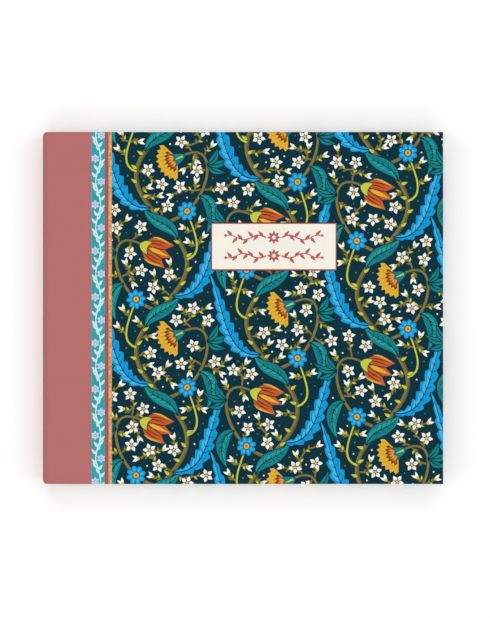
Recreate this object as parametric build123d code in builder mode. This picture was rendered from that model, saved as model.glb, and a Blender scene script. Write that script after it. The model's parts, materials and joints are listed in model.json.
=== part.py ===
from build123d import *
from math import sqrt
import os

# Address and birthday book: a sewn, thumb-indexed block of leaves in a quarter-bound hard case.
# The closed book lies on its back cover. +X runs to the fore-edge, +Y to the head and +Z up, and
# the origin is the middle of the footprint, on the table. All sizes are in millimetres.

# Case
book_width = 165.0  # spine to fore-edge
book_height = 145.0  # tail to head
board_thickness = 2.2  # greyboard of both covers and of the spine
covering_thickness = 0.3  # spine cloth and printed side papers, glued down
edge_round = 0.4  # the covering rounds the edges of a board
turn_in_width = 15.0  # covering folded over to the inside of a board
mitre_slit = 0.25  # open line between two turn-ins at a corner
seam_from_spine = 20.2  # the cloth ends and the printed paper begins
shoulder_radius = 3.0  # bend of the cloth at each joint
joint_clearance = 0.3  # between the bend of the cloth and the boards beside it
spine_corner_radius = 1.8  # head and tail corners of the spine, seen from the front
pastedown_thickness = 0.15
pastedown_margin = 4.0  # turn-in left showing round a pastedown
mull_flap_width = 22.0  # gauze glued to a board, under its pastedown

# Block of leaves
square = 3.0  # the covers stand this far past the leaves
cover_gap = 0.05  # air between a cover and the leaf beside it
leaf_gap = 0.02  # air between leaves
flyleaf_thickness = 0.2
birthday_thickness = 1.34
pages_thickness = 0.64  # address pages of one letter pair
index_card_thickness = 0.26
letter_pairs = ("ab", "cd", "ef", "gh", "ij", "kl", "mn", "op", "qr", "st", "uv", "wx", "yz")
tab_depth = 7.0  # step of the thumb index, in from the fore-edge
tab_corner_radius = 1.8
gutter_width = 10.0  # inner margin that flexes, from the fold's thread to the flat leaf

# Back of the block
hollow_gap = 0.2  # air between the case's spine and the lined block
lining_thickness = 0.2
mull_thickness = 0.2
mull_end_gap = 0.5
thread_diameter = 0.4
thread_clearance = 0.04
thread_inset = 0.55  # from the back of the folds to the threads
thread_end_gap = 4.0  # the threads stop short of head and tail
band_width = 1.6
band_height = 1.2
band_round = 0.55
band_tape_length = 10.0  # tape that glues a band to the back of the folds

# Places worked out from the sizes above
spine_x = -book_width / 2
fore_x = book_width / 2
head_y = book_height / 2
joint_x = spine_x + shoulder_radius
seam_x = spine_x + seam_from_spine
board_spine_x = joint_x + joint_clearance
board_fore_x = fore_x - covering_thickness
board_head_y = head_y - covering_thickness
board_top_z = covering_thickness + board_thickness
turn_in_top_z = board_top_z + covering_thickness
turn_in_head_y = head_y - turn_in_width
turn_in_fore_x = fore_x - turn_in_width
block_bottom_z = turn_in_top_z + pastedown_thickness + cover_gap

spine_board_x = spine_x + covering_thickness
spine_turn_in_x = spine_board_x + board_thickness
lining_x = spine_turn_in_x + covering_thickness + hollow_gap
mull_x = lining_x + lining_thickness
fold_x = mull_x + mull_thickness
thread_x = fold_x + thread_inset
leaf_x = thread_x + gutter_width
leaf_fore_x = fore_x - square
tab_x = leaf_fore_x - tab_depth
leaf_head_y = head_y - square
mull_head_y = min(leaf_head_y - band_tape_length, turn_in_head_y) - mull_end_gap
tab_height = 2 * leaf_head_y / len(letter_pairs)

# The leaves from the back of the book to the front, each as (name, lowest z, thickness)
section_thickness = pages_thickness + leaf_gap + index_card_thickness
leaf_stack = []
next_z = block_bottom_z
for leaf_name, leaf_thickness in (
    ("back_flyleaf", flyleaf_thickness),
    ("birthday_pages", birthday_thickness),
    *((pair, section_thickness) for pair in reversed(letter_pairs)),
    ("front_flyleaf", flyleaf_thickness),
):
    leaf_stack.append((leaf_name, next_z, leaf_thickness))
    next_z += leaf_thickness + leaf_gap
sewn_stack = leaf_stack[1:-1]
block_top_z = next_z - leaf_gap
block_thickness = block_top_z - block_bottom_z
book_thickness = block_top_z + block_bottom_z
middle_plane = Plane.XY.offset(book_thickness / 2)


def save(piece, name):
    piece.part.label = name
    export_step(piece.part, f"parts/{name}.step")


def rectangle_between(x_low, x_high, y_low, y_high, mode=Mode.ADD):
    with Locations(((x_low + x_high) / 2, (y_low + y_high) / 2)):
        Rectangle(x_high - x_low, y_high - y_low, mode=mode)


def subtract_block(x_low, x_high, y_half, z_low, z_high):
    with BuildSketch(Plane.XY.offset(z_low)) as plan:
        rectangle_between(x_low, x_high, -y_half, y_half)
    extrude(plan.sketch, amount=z_high - z_low, mode=Mode.SUBTRACT)


# Every cover piece is drawn on the back cover, and turned over for the front cover
def turn_over(on_front):
    if on_front:
        mirror(about=middle_plane, mode=Mode.REPLACE)


def make_board(name, on_front):
    with BuildPart() as board:
        with BuildSketch(Plane.XY.offset(covering_thickness)):
            rectangle_between(board_spine_x, board_fore_x, -board_head_y, board_head_y)
        extrude(amount=board_thickness)
        turn_over(on_front)
    save(board, name)


# A printed sheet folded round three edges of its board, with mitred corners on the inside
def make_cover_paper(name, on_front):
    with BuildPart() as paper:
        with BuildSketch():
            rectangle_between(seam_x, fore_x, -head_y, head_y)
        extrude(amount=turn_in_top_z)
        edges_off_the_seam = paper.edges().sort_by(Axis.X)[4:]
        fillet(edges_off_the_seam, edge_round)
        subtract_block(seam_x, board_fore_x, board_head_y, covering_thickness, board_top_z)
        subtract_block(seam_x, turn_in_fore_x, turn_in_head_y, board_top_z, turn_in_top_z)
        mitre_length = sqrt(2) * (turn_in_width - covering_thickness)
        with BuildSketch(Plane.XY.offset(board_top_z)):
            for end in (-1, 1):
                with Locations((turn_in_fore_x, end * turn_in_head_y)):
                    Rectangle(2 * mitre_length, mitre_slit, rotation=end * 45)
        extrude(amount=covering_thickness, mode=Mode.SUBTRACT)
        turn_over(on_front)
    save(paper, name)


# The part of the spine cloth that is glued to a cover board, turned in at head and tail
def make_side_cloth(name, on_front):
    with BuildPart() as cloth:
        with BuildSketch():
            rectangle_between(joint_x, seam_x, -head_y, head_y)
        extrude(amount=turn_in_top_z)
        fillet(cloth.edges().filter_by(Axis.X), edge_round)
        subtract_block(joint_x, seam_x, board_head_y, covering_thickness, board_top_z)
        subtract_block(joint_x, seam_x, turn_in_head_y, board_top_z, turn_in_top_z)
        turn_over(on_front)
    save(cloth, name)


# A pastedown lies on the turn-ins and fills the space between them, over the gauze
def make_pastedown(name, on_front):
    margin_y = head_y - pastedown_margin
    with BuildPart() as pastedown:
        with BuildSketch(Plane.XY.offset(turn_in_top_z)):
            rectangle_between(board_spine_x, fore_x - pastedown_margin, -margin_y, margin_y)
        extrude(amount=pastedown_thickness)
        with BuildSketch(Plane.XY.offset(board_top_z)):
            rectangle_between(board_spine_x, turn_in_fore_x, -turn_in_head_y, turn_in_head_y)
        extrude(amount=covering_thickness)
        flap_end_x = board_spine_x + mull_flap_width
        flap_top_z = board_top_z + mull_thickness
        subtract_block(board_spine_x, flap_end_x, mull_head_y, board_top_z, flap_top_z)
        turn_over(on_front)
    save(pastedown, name)


def make_mull_flap(name, on_front):
    with BuildPart() as flap:
        with BuildSketch(Plane.XY.offset(board_top_z)):
            flap_end_x = board_spine_x + mull_flap_width
            rectangle_between(board_spine_x, flap_end_x, -mull_head_y, mull_head_y)
        extrude(amount=mull_thickness)
        turn_over(on_front)
    save(flap, name)


# A quarter of a ring in the XZ plane, round the middle of the back joint's bend
def quarter_ring(outer_radius, inner_radius):
    middle = (joint_x, shoulder_radius)
    with BuildLine() as ring:
        outer = CenterArc(middle, outer_radius, 180, 90)
        inner = CenterArc(middle, inner_radius, 180, 90)
        Line(outer @ 0, inner @ 0)
        Line(outer @ 1, inner @ 1)
    make_face(ring.edges())


# The cloth that bends at a joint: one layer, doubled by its turn-ins at head and tail
def make_joint_cloth(name, on_front):
    inner_radius = shoulder_radius - covering_thickness
    with BuildPart() as cloth:
        with BuildSketch(Plane.XZ):
            quarter_ring(shoulder_radius, inner_radius)
        extrude(amount=head_y, both=True)
        for end in (-1, 1):
            with BuildSketch(Plane.XZ.offset(end * head_y)):
                quarter_ring(inner_radius, inner_radius - covering_thickness)
            extrude(amount=-end * turn_in_width)
        with BuildSketch() as plan:
            rectangle_between(spine_x, joint_x, -head_y, head_y)
            fillet(plan.vertices().sort_by(Axis.X)[:2], spine_corner_radius)
        extrude(amount=book_thickness, mode=Mode.INTERSECT)
        turn_over(on_front)
    save(cloth, name)


# Plan of a piece of the spine, with rounded corners at the outer face
def rounded_spine_plan(plan, x_low, x_high, y_half, corner_radius):
    rectangle_between(x_low, x_high, -y_half, y_half)
    fillet(plan.vertices().sort_by(Axis.X)[:2], corner_radius)


def make_spine_cloth():
    cloth_thickness_z = book_thickness - 2 * shoulder_radius
    lowest_plane = Plane.XY.offset(shoulder_radius)
    inner_corner_radius = spine_corner_radius - covering_thickness
    turn_in_inner_x = spine_turn_in_x + covering_thickness
    with BuildPart() as cloth:
        with BuildSketch(lowest_plane) as outside:
            rounded_spine_plan(outside, spine_x, turn_in_inner_x, head_y, spine_corner_radius)
        extrude(amount=cloth_thickness_z)
        with BuildSketch(lowest_plane) as pocket:
            rounded_spine_plan(pocket, spine_board_x, spine_turn_in_x, board_head_y, inner_corner_radius)
        extrude(amount=cloth_thickness_z, mode=Mode.SUBTRACT)
        cloth_top_z = shoulder_radius + cloth_thickness_z
        subtract_block(spine_turn_in_x, turn_in_inner_x, turn_in_head_y, shoulder_radius, cloth_top_z)
    save(cloth, "spine_cloth")


def make_spine_board():
    lowest_z = shoulder_radius + joint_clearance
    with BuildPart() as board:
        with BuildSketch(Plane.XY.offset(lowest_z)) as plan:
            corner_radius = spine_corner_radius - covering_thickness
            rounded_spine_plan(plan, spine_board_x, spine_turn_in_x, board_head_y, corner_radius)
        extrude(amount=book_thickness - 2 * lowest_z)
    save(board, "spine_board")


# A flat layer glued on the back of the sewn block
def make_back_layer(name, x_low, x_high, y_half):
    with BuildPart() as layer:
        with BuildSketch(Plane.XY.offset(block_bottom_z)):
            rectangle_between(x_low, x_high, -y_half, y_half)
        extrude(amount=block_thickness)
    save(layer, name)


# A band has a rounded bead on the edge of the leaves and a tape down the back of the folds
def make_band(name, at_tail):
    with BuildPart() as band:
        with BuildSketch(Plane.XY.offset(block_bottom_z)) as plan:
            rectangle_between(mull_x, mull_x + band_width, leaf_head_y, leaf_head_y + band_height)
            fillet(plan.vertices().sort_by(Axis.Y)[2:], band_round)
            rectangle_between(mull_x, fold_x, leaf_head_y - band_tape_length, leaf_head_y)
        extrude(amount=block_thickness)
        if at_tail:
            mirror(about=Plane.XZ, mode=Mode.REPLACE)
    save(band, name)


# The inner margins of all leaves: each sewn section has a round back and a hole for its thread
def make_gutters():
    with BuildPart() as gutters:
        with BuildSketch(Plane.XZ):
            for _, low_z, thickness in leaf_stack:
                round_back = thickness / 2
                rectangle_between(fold_x + round_back, leaf_x, low_z, low_z + thickness)
                with Locations((fold_x + round_back, low_z + thickness / 2)):
                    Circle(round_back)
            for _, low_z, thickness in sewn_stack:
                with Locations((thread_x, low_z + thickness / 2)):
                    Circle(thread_diameter / 2 + thread_clearance, mode=Mode.SUBTRACT)
        extrude(amount=leaf_head_y, both=True)
    save(gutters, "leaf_gutters")


def make_threads():
    with BuildPart() as threads:
        with BuildSketch(Plane.XZ):
            for _, low_z, thickness in sewn_stack:
                with Locations((thread_x, low_z + thickness / 2)):
                    Circle(thread_diameter / 2)
        extrude(amount=leaf_head_y - thread_end_gap, both=True)
    save(threads, "sewing_threads")


# A leaf, or a stack of leaves, whose fore-edge is cut back below the given number of index rows
def make_leaf(name, low_z, thickness, rows=len(letter_pairs)):
    with BuildPart() as leaf:
        with BuildSketch(Plane.XY.offset(low_z)) as outline:
            rectangle_between(leaf_x, leaf_fore_x, -leaf_head_y, leaf_head_y)
            if rows < len(letter_pairs):
                step_y = leaf_head_y - rows * tab_height
                rectangle_between(tab_x, leaf_fore_x, -leaf_head_y, step_y, mode=Mode.SUBTRACT)
                step_corners = outline.vertices().sort_by(Axis.Y)[2:4]
                fillet(step_corners, tab_corner_radius)
        extrude(amount=thickness)
    save(leaf, name)


os.makedirs("parts", exist_ok=True)

for side, on_front in (("back", False), ("front", True)):
    make_board(f"{side}_board", on_front)
    make_cover_paper(f"{side}_cover_paper", on_front)
    make_side_cloth(f"{side}_spine_cloth", on_front)
    make_joint_cloth(f"{side}_joint_cloth", on_front)
    make_mull_flap(f"{side}_mull_flap", on_front)
    make_pastedown(f"{side}_pastedown", on_front)

make_spine_board()
make_spine_cloth()
make_back_layer("spine_lining", lining_x, mull_x, leaf_head_y)
make_back_layer("mull", mull_x, fold_x, mull_head_y)
make_band("head_band", at_tail=False)
make_band("tail_band", at_tail=True)
make_gutters()
make_threads()

for leaf_name, low_z, leaf_thickness in leaf_stack:
    if leaf_name in letter_pairs:
        rows_kept = letter_pairs.index(leaf_name) + 1
        make_leaf(f"pages_{leaf_name}", low_z, pages_thickness, rows_kept)
        card_z = low_z + pages_thickness + leaf_gap
        make_leaf(f"index_leaf_{leaf_name}", card_z, index_card_thickness, rows_kept)
    else:
        make_leaf(leaf_name, low_z, leaf_thickness)
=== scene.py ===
import json
import math
import random

import bmesh
import bpy
import numpy as np
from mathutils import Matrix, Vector
from mathutils.geometry import delaunay_2d_cdt


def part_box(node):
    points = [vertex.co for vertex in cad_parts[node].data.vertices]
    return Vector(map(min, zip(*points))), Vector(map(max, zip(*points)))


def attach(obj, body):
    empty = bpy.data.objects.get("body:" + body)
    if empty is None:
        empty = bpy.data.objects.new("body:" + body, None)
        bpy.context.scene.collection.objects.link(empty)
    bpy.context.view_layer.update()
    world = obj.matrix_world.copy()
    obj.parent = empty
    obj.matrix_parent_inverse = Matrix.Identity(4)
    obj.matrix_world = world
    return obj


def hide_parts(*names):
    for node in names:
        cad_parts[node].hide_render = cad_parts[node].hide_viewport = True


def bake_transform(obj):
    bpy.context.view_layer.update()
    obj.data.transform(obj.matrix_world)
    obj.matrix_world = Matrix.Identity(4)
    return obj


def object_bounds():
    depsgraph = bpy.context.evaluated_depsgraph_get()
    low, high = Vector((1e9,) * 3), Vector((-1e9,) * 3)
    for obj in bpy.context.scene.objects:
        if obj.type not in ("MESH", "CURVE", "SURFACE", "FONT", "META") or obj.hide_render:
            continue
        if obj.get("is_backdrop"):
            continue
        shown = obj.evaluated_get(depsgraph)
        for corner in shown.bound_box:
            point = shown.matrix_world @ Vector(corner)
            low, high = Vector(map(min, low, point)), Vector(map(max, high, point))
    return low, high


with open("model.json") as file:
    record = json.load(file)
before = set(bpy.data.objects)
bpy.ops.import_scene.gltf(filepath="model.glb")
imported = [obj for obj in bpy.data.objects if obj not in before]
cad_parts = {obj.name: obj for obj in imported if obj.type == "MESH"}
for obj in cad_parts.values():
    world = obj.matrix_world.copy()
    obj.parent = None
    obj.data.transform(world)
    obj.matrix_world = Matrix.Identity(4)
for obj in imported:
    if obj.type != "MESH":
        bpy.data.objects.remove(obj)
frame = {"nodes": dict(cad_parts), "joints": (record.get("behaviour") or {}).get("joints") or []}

mm = 0.001
fullTurn, quarterTurn = 2 * math.pi, math.pi / 2
for leftover in ("Cube", "Light", "Camera"):  # what Blender's own start file brings along
    if leftover in bpy.data.objects:
        bpy.data.objects.remove(bpy.data.objects[leftover])
cadLow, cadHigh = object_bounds()


def boxOf(node):
    return [[v / mm for v in corner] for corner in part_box(node)]


def inMetres(*lengths):
    return tuple(v * mm for v in lengths)


# The case, in millimetres, from the frame
paperLow, paperHigh = boxOf("front_cover_paper")
case = {
    "spineX": cadLow[0] / mm, "foreX": cadHigh[0] / mm, "headY": cadHigh[1] / mm, "topZ": cadHigh[2] / mm,
    "seamX": paperLow[0],  # the cloth ends here and the printed paper begins
    "jointX": boxOf("front_spine_cloth")[0][0],
    "shoulder": boxOf("spine_cloth")[0][2],  # radius of the cloth's bend at a joint
    "deep": paperHigh[2] - paperLow[2],  # a board with its covering on both sides
    "covering": 0.3, "edgeRound": 0.4, "turnIn": 15.0, "mitreSlit": 0.12, "spineCorner": 1.8,
}
bookWide, stripWide = (case[end] - case["spineX"] for end in ("foreX", "seamX"))
print("frame loaded:", len(frame["nodes"]), "nodes")


# Small helpers for objects

def deselect():
    if bpy.context.object and bpy.context.object.mode != "OBJECT":
        bpy.ops.object.mode_set(mode="OBJECT")
    bpy.ops.object.select_all(action="DESELECT")


def makeActive(piece):
    deselect()
    piece.select_set(True)
    bpy.context.view_layer.objects.active = piece


def editAll(piece):
    makeActive(piece)
    bpy.ops.object.mode_set(mode="EDIT")
    bpy.ops.mesh.select_all(action="SELECT")


def endEdit():
    bpy.ops.object.mode_set(mode="OBJECT")


def newest(name, scale=(1, 1, 1), turn=(0, 0, 0), place=None):
    # the object that an operator has just made, named, sized and set down
    piece = bpy.context.object
    piece.name = piece.data.name = name
    piece.scale, piece.rotation_euler = scale, turn
    piece.location = place or piece.location
    bpy.ops.object.transform_apply(location=True, rotation=True, scale=True)
    return piece


def meshPiece(name, points, faces):
    mesh = bpy.data.meshes.new(name)
    mesh.from_pydata(points, [], faces)
    piece = bpy.data.objects.new(name, mesh)
    bpy.context.scene.collection.objects.link(piece)
    return piece


def smooth(piece, degrees=35):
    makeActive(piece)
    bpy.ops.object.shade_smooth_by_angle(angle=math.radians(degrees))


def wear(piece, *materials):
    piece.data.materials.clear()
    for material in materials:
        piece.data.materials.append(material)


def setMap(piece, name, places):
    places = np.asarray(places, np.float32).ravel()
    piece.data.uv_layers.new(name=name).uv.foreach_set("vector", places)


# Small helpers for nodes

def srgb(*levels):
    shares = [level / 255 for level in levels]
    return (*(v / 12.92 if v <= 0.04045 else ((v + 0.055) / 1.055) ** 2.4 for v in shares), 1.0)


def feed(tree, socket, value):
    if isinstance(value, bpy.types.NodeSocket):
        tree.links.new(value, socket)
    else:
        socket.default_value = value


def addNode(tree, kind, inputs=None, **options):
    node = tree.nodes.new("ShaderNode" + kind)
    for name, value in options.items():
        setattr(node, name, value)
    for label, value in (inputs or {}).items():
        feed(tree, node.inputs[label], value)
    return node


def sums(tree, operation, a, b=0.0):
    return addNode(tree, "Math", {0: a, 1: b}, operation=operation).outputs[0]


def plus(tree, a, b):
    return sums(tree, "ADD", a, b)


def less(tree, a, b):
    return sums(tree, "SUBTRACT", a, b)


def times(tree, first, *others):
    for other in others:
        first = sums(tree, "MULTIPLY", first, other)
    return first


def mixed(tree, factor, a, b, blend="MIX"):
    node = addNode(tree, "Mix", {"Factor": factor, "A": a, "B": b}, data_type="RGBA", blend_type=blend)
    return node.outputs["Result"]


def axesOf(tree, vector):
    return addNode(tree, "SeparateXYZ", {0: vector}).outputs


def newGroup(name, *values, height=True):
    # an effect that takes a place, a colour and some values, and gives a colour and maybe a height
    group = bpy.data.node_groups.new(name, "ShaderNodeTree")
    inputs = [("Vector", "Vector"), ("Colour", "Color")] + [(value, "Float") for value in values]
    outputs = [("Colour", "Color")] + [("Height", "Float")] * height
    for way, sockets in (("INPUT", inputs), ("OUTPUT", outputs)):
        for label, kind in sockets:
            group.interface.new_socket(name=label, in_out=way, socket_type="NodeSocket" + kind)
    return group, group.nodes.new("NodeGroupInput").outputs, group.nodes.new("NodeGroupOutput").inputs


def placeGroup(tree, group, **values):
    return addNode(tree, "Group", values, node_tree=group).outputs


def newMaterial(name, roughness, specular):
    material = bpy.data.materials.new(name)
    material.use_nodes = True
    tree = material.node_tree
    shader = tree.nodes["Principled BSDF"]
    shader.inputs["Roughness"].default_value = roughness
    shader.inputs["Specular IOR Level"].default_value = specular
    return material, tree, shader


def inMillimetres(tree, uvMap=None):
    # surface coordinates in mm: Object coordinates are in metres, the pieces' own maps already in mm
    if uvMap:
        return addNode(tree, "UVMap", uv_map=uvMap).outputs["UV"]
    place = addNode(tree, "TexCoord").outputs["Object"]
    return addNode(tree, "Mapping", {"Vector": place, "Scale": (1 / mm,) * 3}).outputs["Vector"]


def coat(tree, shader, colour, height, depth, strength=0.5):
    # colour and fine relief, whose depth is in mm
    relief = addNode(tree, "Bump", {"Strength": strength, "Distance": depth * mm, "Height": height})
    feed(tree, shader.inputs["Base Color"], colour)
    feed(tree, shader.inputs["Normal"], relief.outputs["Normal"])


# Shared effects, as node groups

def makePaperFibre(detail=5.0, roughness=0.65):
    # a cloudy tone with fine flecks
    group, into, out = newGroup("paperFibre", "Scale", "Fleck")
    shape = {"Detail": detail, "Roughness": roughness, "Vector": into["Vector"], "Scale": into["Scale"]}
    height = addNode(group, "TexNoise", shape).outputs[0]
    tone = plus(group, times(group, less(group, height, 0.5), into["Fleck"]), 1.0)
    feed(group, out["Colour"], mixed(group, 1.0, into["Colour"], tone, "MULTIPLY"))
    feed(group, out["Height"], height)
    return group


def makePlainWeave(dip=0.4):
    # threads over and under each other, which dip where they cross; painted shade darkens the gaps between
    # them
    group, into, out = newGroup("plainWeave", "Pitch", "Shade")
    axes = axesOf(group, into["Vector"])
    threads, cells = [], []
    for axis in ("X", "Y"):
        count = sums(group, "DIVIDE", axes[axis], into["Pitch"])
        cells.append(sums(group, "FLOOR", count))
        threads.append(sums(group, "ABSOLUTE", sums(group, "SINE", times(group, count, math.pi))))
    warp, weft = threads
    over = sums(group, "PINGPONG", plus(group, *cells), 1.0)
    under = less(group, 1.0, over)
    raised = []
    for thread, crossing, shown in ((warp, weft, over), (weft, warp, under)):
        crown = plus(group, times(group, crossing, dip), 1 - dip)
        raised.append(times(group, thread, crown, shown))
    height = plus(group, *raised)
    # painted shade: the lower the weave lies, the darker its colour, by the share Shade
    gapShade = times(group, less(group, 1.0, height), into["Shade"])
    feed(group, out["Colour"], mixed(group, 1.0, into["Colour"], less(group, 1.0, gapShade), "MULTIPLY"))
    feed(group, out["Height"], height)
    return group


paperFibre = makePaperFibre()
plainWeave = makePlainWeave()


def fibreOn(tree, place, colour, scale, fleck):
    if isinstance(colour, tuple):
        colour = srgb(*colour)
    return placeGroup(tree, paperFibre, Vector=place, Colour=colour, Scale=scale, Fleck=fleck)


def paperMaterial(name, colour, fleck, scale, roughness=0.8, grain=0.02, broader=0.07):
    material, tree, shader = newMaterial(name, roughness, specular=0.2)
    place = inMillimetres(tree)
    broad = fibreOn(tree, place, colour, scale * broader, fleck)
    fibre = fibreOn(tree, place, broad["Colour"], scale, fleck)
    coat(tree, shader, fibre["Colour"], fibre["Height"], grain)
    return material


# shade sets how strongly painted shade darkens the gaps of the weave
def wovenMaterial(name, colour, pitch, shade, uvMap=None, roughness=0.8, specular=0.2, depth=0.05):
    material, tree, shader = newMaterial(name, roughness, specular)
    place = inMillimetres(tree, uvMap)
    fibre = fibreOn(tree, place, colour, scale=0.35, fleck=0.06)
    weave = placeGroup(tree, plainWeave, Vector=place, Colour=fibre["Colour"], Pitch=pitch, Shade=shade)
    coat(tree, shader, weave["Colour"], weave["Height"], depth)
    return material


# The print's inks, as they look in plain light
inks = {
    "ground": (0, 45, 56), "navy": (8, 52, 92), "blue": (12, 152, 212), "blueLight": (62, 182, 228),
    "teal": (14, 126, 132), "tealLight": (30, 156, 152), "olive": (126, 114, 60), "oliveDark": (96, 82, 44),
    "lime": (196, 200, 66), "white": (246, 245, 238), "shade": (168, 190, 190), "gold": (224, 174, 50),
    "goldDeep": (196, 130, 34), "rust": (194, 92, 44), "rustDark": (118, 46, 22), "brown": (116, 66, 26),
    "bandTeal": (42, 162, 170), "bandWhite": (210, 235, 240), "bandLilac": (196, 208, 230),
    "rose": (186, 92, 92), "cream": (245, 240, 227), "roseStripe": (166, 84, 89), "bare": (236, 231, 218),
    "goldStripe": (208, 152, 96), "goldPale": (226, 186, 132), "goldWarm": (190, 126, 78),
}


def printMaterial(smoothest=0.46, uneven=0.16):
    # ink on smooth paper under a matt film; the ink of each face is in the sheet's own attribute
    material, tree, shader = newMaterial("printedPaper", 0.55, specular=0.06)
    ink = addNode(tree, "Attribute", attribute_name="ink").outputs["Color"]
    place = inMillimetres(tree)
    broad = fibreOn(tree, place, ink, scale=0.12, fleck=0.1)
    fine = fibreOn(tree, place, broad["Colour"], scale=3.0, fleck=0.14)
    feed(tree, shader.inputs["Roughness"], plus(tree, times(tree, broad["Height"], uneven), smoothest))
    coat(tree, shader, fine["Colour"], fine["Height"], depth=0.008, strength=0.4)
    return material


printedPaper = printMaterial()
roseCloth = wovenMaterial("roseCloth", (185, 112, 110), pitch=0.42, shade=0.1, uvMap="strip", roughness=0.78,
                          specular=0.15)
greyBoard = paperMaterial("greyBoard", (172, 166, 154), fleck=0.4, scale=2.2, roughness=0.95, grain=0.08)
endPaper = paperMaterial("endPaper", (240, 233, 214), fleck=0.09, scale=1.4)
gauze = wovenMaterial("gauze", (236, 233, 224), pitch=0.9, shade=0.55, roughness=0.95, depth=0.12)
kraftPaper = paperMaterial("kraftPaper", (176, 138, 96), fleck=0.25, scale=1.6, roughness=0.9)
linenThread = wovenMaterial("linenThread", (240, 236, 224), pitch=0.2, shade=0.3, roughness=0.7)
cardBare = paperMaterial("cardBare", (248, 244, 234), fleck=0.04, scale=1.5, roughness=0.7)
print("materials ready:", len(bpy.data.materials))


# Drawing in the flat: x in mm from the spine edge of the closed book, y from its mid-height

def bezier(a, b, c, d, steps):
    points = []
    for i in range(steps + 1):
        t = i / steps
        s = 1 - t
        points.append(tuple(s**3 * p + 3 * s * s * t * q + 3 * s * t * t * r + t**3 * u
                            for p, q, r, u in zip(a, b, c, d)))
    return points


def ribbon(line, reach):
    # outline of a stroke; reach gives how far it goes to the left and right at a share of its length
    left, right = [], []
    last = len(line) - 1
    for i, (x, y) in enumerate(line):
        ax, ay = line[max(i - 1, 0)]
        bx, by = line[min(i + 1, last)]
        size = math.hypot(bx - ax, by - ay) or 1.0
        nx, ny = -(by - ay) / size, (bx - ax) / size
        l, r = reach(i / last)
        left.append((x + nx * l, y + ny * l))
        right.append((x - nx * r, y - ny * r))
    return left + right[::-1]


def stroke(line, start, end):
    return ribbon(line, lambda t: (start + (end - start) * t,) * 2)


def swell(t, power=0.85):
    return math.sin(math.pi * min(1.0, max(0.0, t)) ** power)


def spindle(line, wide, tip=0.004, power=0.85):
    return ribbon(line, lambda t: (wide * swell(t, power) + tip,) * 2)


def outFrom(x, y, reach, angle):
    return x + reach * math.cos(angle), y + reach * math.sin(angle)


def turned(points, x, y, angle, size=1.0):
    c, s = math.cos(angle) * size, math.sin(angle) * size
    return [(x + px * c - py * s, y + px * s + py * c) for px, py in points]


def mirrored(points):
    return [(x, -y) for x, y in points[::-1]]


def heldIn(points, left, right):
    return [(min(max(x, left), right), y) for x, y in points]


def disc(x, y, radius, sides):
    return [outFrom(x, y, radius, fullTurn * k / sides) for k in range(sides)]


def rectangle(left, right, bottom, top):
    return [(left, bottom), (right, bottom), (right, top), (left, top)]


def signedArea(points):
    pairs = zip(points[-1:] + points[:-1], points)
    return sum(ax * by - bx * ay for (ax, ay), (bx, by) in pairs) / 2


def grown(points, reach):
    # the outline moved outwards, for the dark line round a shape
    side = math.copysign(reach, signedArea(points))
    out = []
    for i, (x, y) in enumerate(points):
        ax, ay = points[i - 1]
        bx, by = points[(i + 1) % len(points)]
        size = math.hypot(bx - ax, by - ay) or 1.0
        out.append((x + side * (by - ay) / size, y - side * (bx - ax) / size))
    return out


def petal(length, width, point=0.6, steps=4):
    # outline of a petal that starts at the middle of a flower and lies along x
    up = [(length * k / steps, width / 2 * math.sin(math.pi * (k / steps) ** point)) for k in range(1, steps)]
    return [(0.0, 0.0)] + [(x, -y) for x, y in up] + [(length, 0.0)] + up[::-1]


def petalRing(x, y, count, start, outline, angle=0.0):
    # a petal's copies round a middle, each of which starts a little way out
    turns = [angle + fullTurn * k / count for k in range(count)]
    return [turned(outline, *outFrom(x, y, start, a), a) for a in turns]


def newArt(left, right, bottom, top, cell=0.5):
    # layers are painted from twigs up to flowers; the grid knows which ground is taken
    gx, gy = np.arange(left, right, cell), np.arange(bottom, top, cell)
    return {"layers": {name: [] for name in ("twigs", "stems", "leaves", "flowers")}, "cell": cell,
            "gx": gx, "gy": gy, "taken": np.zeros((len(gx), len(gy)), bool)}


rims = {"broad": 0.35, "middle": 0.3, "fine": 0.2}  # dark lines round the shapes


def lay(art, layer, ink, points, rim=None, mark=True):
    gx, gy = art["gx"], art["gy"]
    p = np.array(points)
    (x0, y0), (x1, y1) = p.min(axis=0), p.max(axis=0)
    if x1 < gx[0] or x0 > gx[-1] or y1 < gy[0] or y0 > gy[-1]:
        return
    if rim:
        art["layers"][layer].append(("ground", grown(points, rims[rim])))
    art["layers"][layer].append((ink, points))
    if not mark:
        return
    i0, i1 = np.searchsorted(gx, (x0, x1))
    j0, j1 = np.searchsorted(gy, (y0, y1))
    x, y = np.meshgrid(gx[i0:i1], gy[j0:j1], indexing="ij")
    inside = np.zeros(x.shape, bool)
    for (ax, ay), (bx, by) in zip(p, np.roll(p, -1, axis=0)):
        if ay != by:
            inside ^= ((ay > y) != (by > y)) & (x < (bx - ax) * (y - ay) / (by - ay) + ax)
    art["taken"][i0:i1, j0:j1] |= inside


def flowerPen(art, x, y, size, angle):
    # lays shapes that are drawn in a flower's own frame, in shares of its size
    def put(ink, points, **how):
        lay(art, "flowers", ink, turned(points, x, y, angle, size), **how)
    return put


def bareSpots(art, radius, rng):
    # seeded scatter of bare circles, two radii or more apart
    reach = int(radius / art["cell"])
    taken = art["taken"]
    blocked = np.zeros_like(taken)
    nx, ny = taken.shape
    for i in range(-reach, reach + 1):
        for j in range(-reach, reach + 1):
            if i * i + j * j <= reach * reach:
                a, b, c, d = max(0, i), max(0, j), min(nx, nx + i), min(ny, ny + j)
                blocked[a:c, b:d] |= taken[a - i:c - i, b - j:d - j]
    cells = [(float(art["gx"][i]), float(art["gy"][j])) for i, j in zip(*np.nonzero(~blocked))]
    rng.shuffle(cells)
    found = []
    for x, y in cells:
        if all((x - u) ** 2 + (y - v) ** 2 > (2 * radius) ** 2 for u, v in found):
            found.append((x, y))
    return found


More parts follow.
